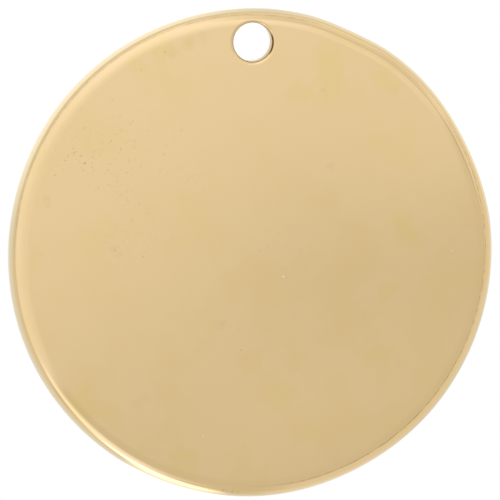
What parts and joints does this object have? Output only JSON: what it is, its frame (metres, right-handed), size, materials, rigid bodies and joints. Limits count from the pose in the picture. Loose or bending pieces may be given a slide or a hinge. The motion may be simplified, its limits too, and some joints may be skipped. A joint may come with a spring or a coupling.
{
  "type": "disc pendant",
  "caption": "Plain round metal disc pendant with a softly rolled front edge and one round hole near its rim for a jump ring.",
  "frame": {"origin": "centre of the disc, on its back face", "axes": "+Z out of the front face; +Y from the disc's centre towards the hole"},
  "size_m": [0.019, 0.019, 0.001],
  "materials": {
    "disc": "polished gold-tone metal with faint handling marks"
  },
  "bodies": {
    "root": {"disc": "disc"}
  },
  "joints": []
}
